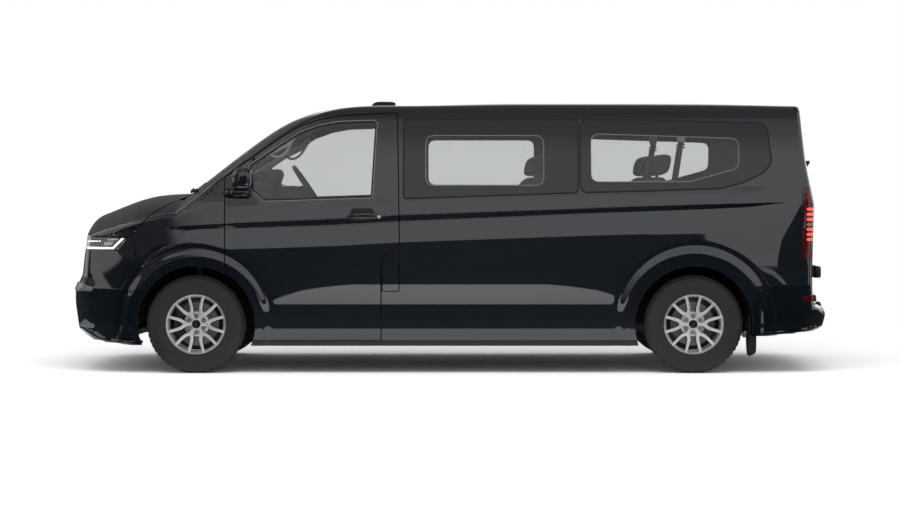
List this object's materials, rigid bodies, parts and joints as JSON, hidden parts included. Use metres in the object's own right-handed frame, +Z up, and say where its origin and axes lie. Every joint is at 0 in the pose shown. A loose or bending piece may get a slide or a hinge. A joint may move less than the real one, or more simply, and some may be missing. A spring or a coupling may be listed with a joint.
{
  "type": "minibus",
  "caption": "Full-size long-wheelbase minibus with three rows of seats, opening front doors, bonnet, tailgate and fuel flap, steered front wheels and a tow ball.",
  "frame": {"origin": "centre of the vehicle's footprint, on the ground", "axes": "+Z up, front of the vehicle towards -X, its left side towards -Y"},
  "size_m": [5.4939, 2.278, 1.94],
  "materials": {
    "body_paint": "deep black metallic paint under gloss lacquer",
    "glass": "grey tinted safety glass",
    "lamp_lens": "clear polycarbonate",
    "red_lens": "dark red acrylic",
    "black_plastic": "grained black polypropylene",
    "underbody": "sealed black primer",
    "steel": "black coated steel",
    "cast_metal": "cast",
    "seat_cloth": "dark grey woven cloth",
    "trim_plastic": "soft grained plastic",
    "rubber": "moulded rubber",
    "tyre": "tyre rubber",
    "alloy": "silver painted cast alloy"
  },
  "bodies": {
    "chassis": {"roof_panel": "body_paint", "side_panel_left": "body_paint", "side_panel_right": "body_paint", "sliding_door": "body_paint", "front_wings": "body_paint", "front_bumper": "body_paint", "rear_bumper": "body_paint", "windscreen": "glass", "side_windows": "glass", "headlamps": "lamp_lens", "tail_lamps": "red_lens", "grille": "black_plastic", "scuttle": "black_plastic", "bulkhead": "underbody", "floor_pan": "underbody", "wheel_housings": "black_plastic", "front_suspension": "steel", "rear_axle": "steel", "engine_block": "cast_metal", "fuel_tank": "black_plastic", "exhaust": "steel", "front_seats": "seat_cloth", "middle_seats": "seat_cloth", "rear_seats": "seat_cloth", "dashboard": "trim_plastic", "steering_wheel": "trim_plastic", "roof_antenna": "black_plastic", "mud_flaps": "rubber", "tow_bar": "steel"},
    "front_door_left": {"front_door_left": "body_paint", "door_glass_left": "glass", "mirror_left": "body_paint", "door_handle_left": "body_paint"},
    "front_door_right": {"front_door_right": "body_paint", "door_glass_right": "glass", "mirror_right": "body_paint", "door_handle_right": "body_paint"},
    "bonnet": {"bonnet": "body_paint"},
    "tailgate": {"tailgate": "body_paint", "tailgate_glass": "glass", "rear_wiper": "black_plastic"},
    "fuel_flap": {"fuel_flap": "body_paint"},
    "steering_left": {"knuckle_left": "steel"},
    "steering_right": {"knuckle_right": "steel"},
    "wheel_front_left": {"tyre_front_left": "tyre", "wheel_front_left": "alloy"},
    "wheel_front_right": {"tyre_front_right": "tyre", "wheel_front_right": "alloy"},
    "wheel_rear_left": {"tyre_rear_left": "tyre", "wheel_rear_left": "alloy"},
    "wheel_rear_right": {"tyre_rear_right": "tyre", "wheel_rear_right": "alloy"}
  },
  "joints": [
    {"name": "front_door_left_hinge", "type": "hinge", "parent": "chassis", "child": "front_door_left", "pos_m": [-1.569, -1.017, 0.8], "axis": [0, 0, -1], "range_deg": [0, 68]},
    {"name": "front_door_right_hinge", "type": "hinge", "parent": "chassis", "child": "front_door_right", "pos_m": [-1.569, 1.017, 0.8], "axis": [0, 0, 1], "range_deg": [0, 68]},
    {"name": "bonnet_hinge", "type": "hinge", "parent": "chassis", "child": "bonnet", "pos_m": [-1.85, 0, 1.262], "axis": [0, 1, 0], "range_deg": [0, 50]},
    {"name": "tailgate_hinge", "type": "hinge", "parent": "chassis", "child": "tailgate", "pos_m": [2.433, 0, 1.9], "axis": [0, -1, 0], "range_deg": [0, 85]},
    {"name": "fuel_flap_hinge", "type": "hinge", "parent": "chassis", "child": "fuel_flap", "pos_m": [-0.354, -1.0165, 0.7], "axis": [0, 0, 1], "range_deg": [0, 100]},
    {"name": "steer_left", "type": "hinge", "parent": "chassis", "child": "steering_left", "pos_m": [-1.787, -0.735, 0.343], "axis": [0, 0, 1], "range_deg": [-35, 35]},
    {"name": "steer_right", "type": "hinge", "parent": "chassis", "child": "steering_right", "pos_m": [-1.787, 0.735, 0.343], "axis": [0, 0, 1], "range_deg": [-35, 35]},
    {"name": "wheel_front_left_spin", "type": "hinge", "parent": "steering_left", "child": "wheel_front_left", "pos_m": [-1.787, -0.87, 0.343], "axis": [0, 1, 0], "continuous": true},
    {"name": "wheel_front_right_spin", "type": "hinge", "parent": "steering_right", "child": "wheel_front_right", "pos_m": [-1.787, 0.87, 0.343], "axis": [0, 1, 0], "continuous": true},
    {"name": "wheel_rear_left_spin", "type": "hinge", "parent": "chassis", "child": "wheel_rear_left", "pos_m": [1.713, -0.87, 0.343], "axis": [0, 1, 0], "continuous": true},
    {"name": "wheel_rear_right_spin", "type": "hinge", "parent": "chassis", "child": "wheel_rear_right", "pos_m": [1.713, 0.87, 0.343], "axis": [0, 1, 0], "continuous": true}
  ],
  "couplings": [
    {"joint": "steer_right", "follows": "steer_left", "ratio": 1}
  ]
}
